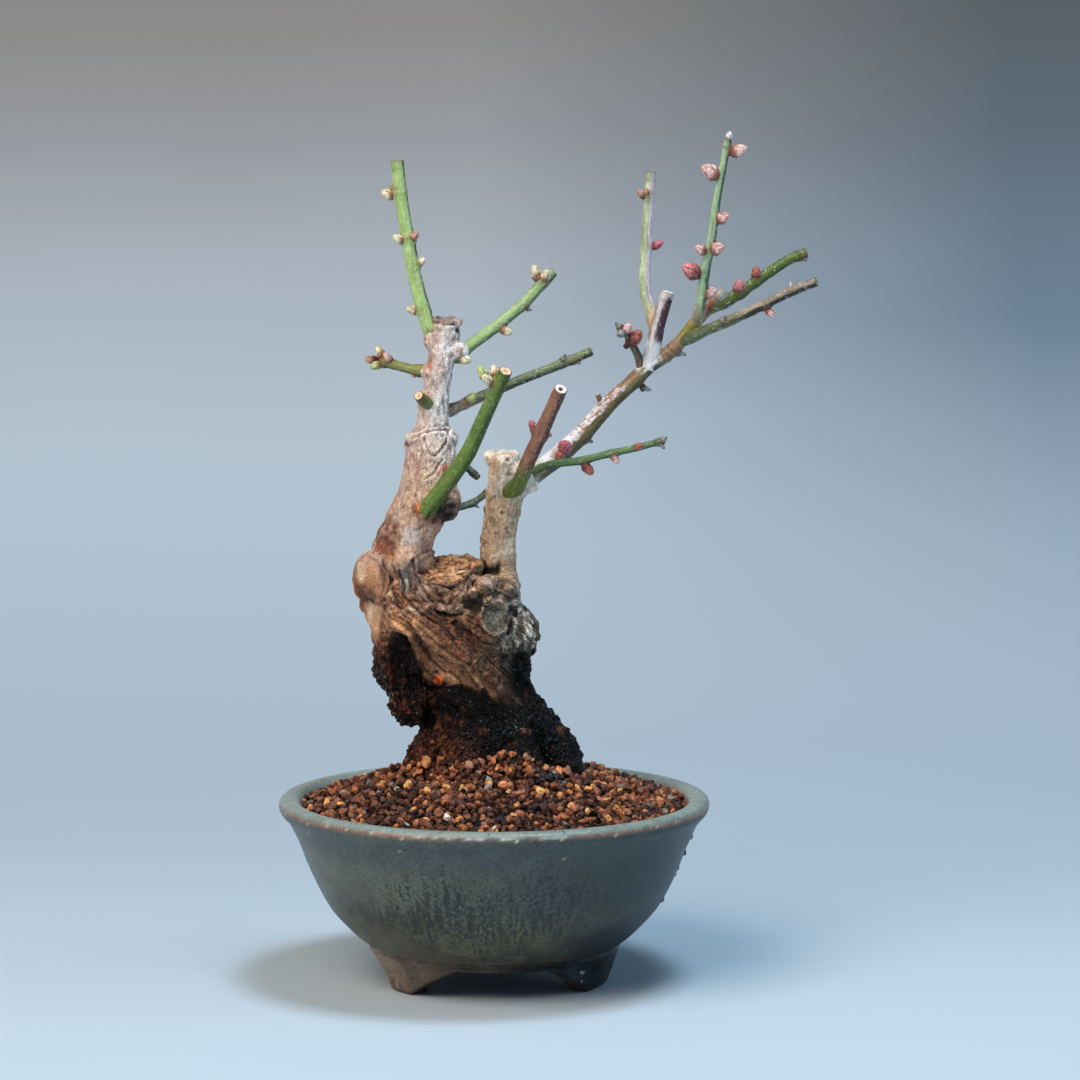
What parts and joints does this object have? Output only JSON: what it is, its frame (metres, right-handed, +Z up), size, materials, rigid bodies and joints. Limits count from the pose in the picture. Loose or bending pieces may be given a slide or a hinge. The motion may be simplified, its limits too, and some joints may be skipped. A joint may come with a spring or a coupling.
{
  "type": "japanese apricot bonsai",
  "caption": "Japanese apricot tree kept as a bonsai: a stout twisted trunk with budding winter shoots, standing in soil in a round glazed pot on bracket feet.",
  "frame": {"origin": "middle of the bottom of the whole object's box, on the surface that the pot's feet stand on", "axes": "+Z up, -Y towards the front of the tree, +X to the side of the long branch"},
  "size_m": [0.162, 0.131, 0.2576],
  "materials": {
    "pot_glaze": "satin",
    "soil_grains": "matte",
    "drain_net": "matte",
    "old_bark": "rough bark",
    "branch_bark": "matte bark",
    "green_shoot": "satin young bark"
  },
  "bodies": {
    "root": {"pot": "pot_glaze", "drain_mesh": "drain_net", "soil": "soil_grains", "trunk": "old_bark", "branch_right": "branch_bark", "shoot_left_top": "green_shoot", "shoot_left_upper_right": "green_shoot", "shoot_left_side": "green_shoot", "stub_left": "branch_bark", "shoot_left_back": "green_shoot", "shoot_left_front": "green_shoot", "twig_back_upper": "branch_bark", "twig_back_lower": "branch_bark", "shoot_right_front": "branch_bark", "shoot_right_side": "green_shoot", "spur_right": "branch_bark", "shoot_right_upright": "branch_bark", "shoot_right_buds": "green_shoot", "shoot_right_green": "green_shoot", "shoot_right_dark": "branch_bark"}
  },
  "joints": []
}
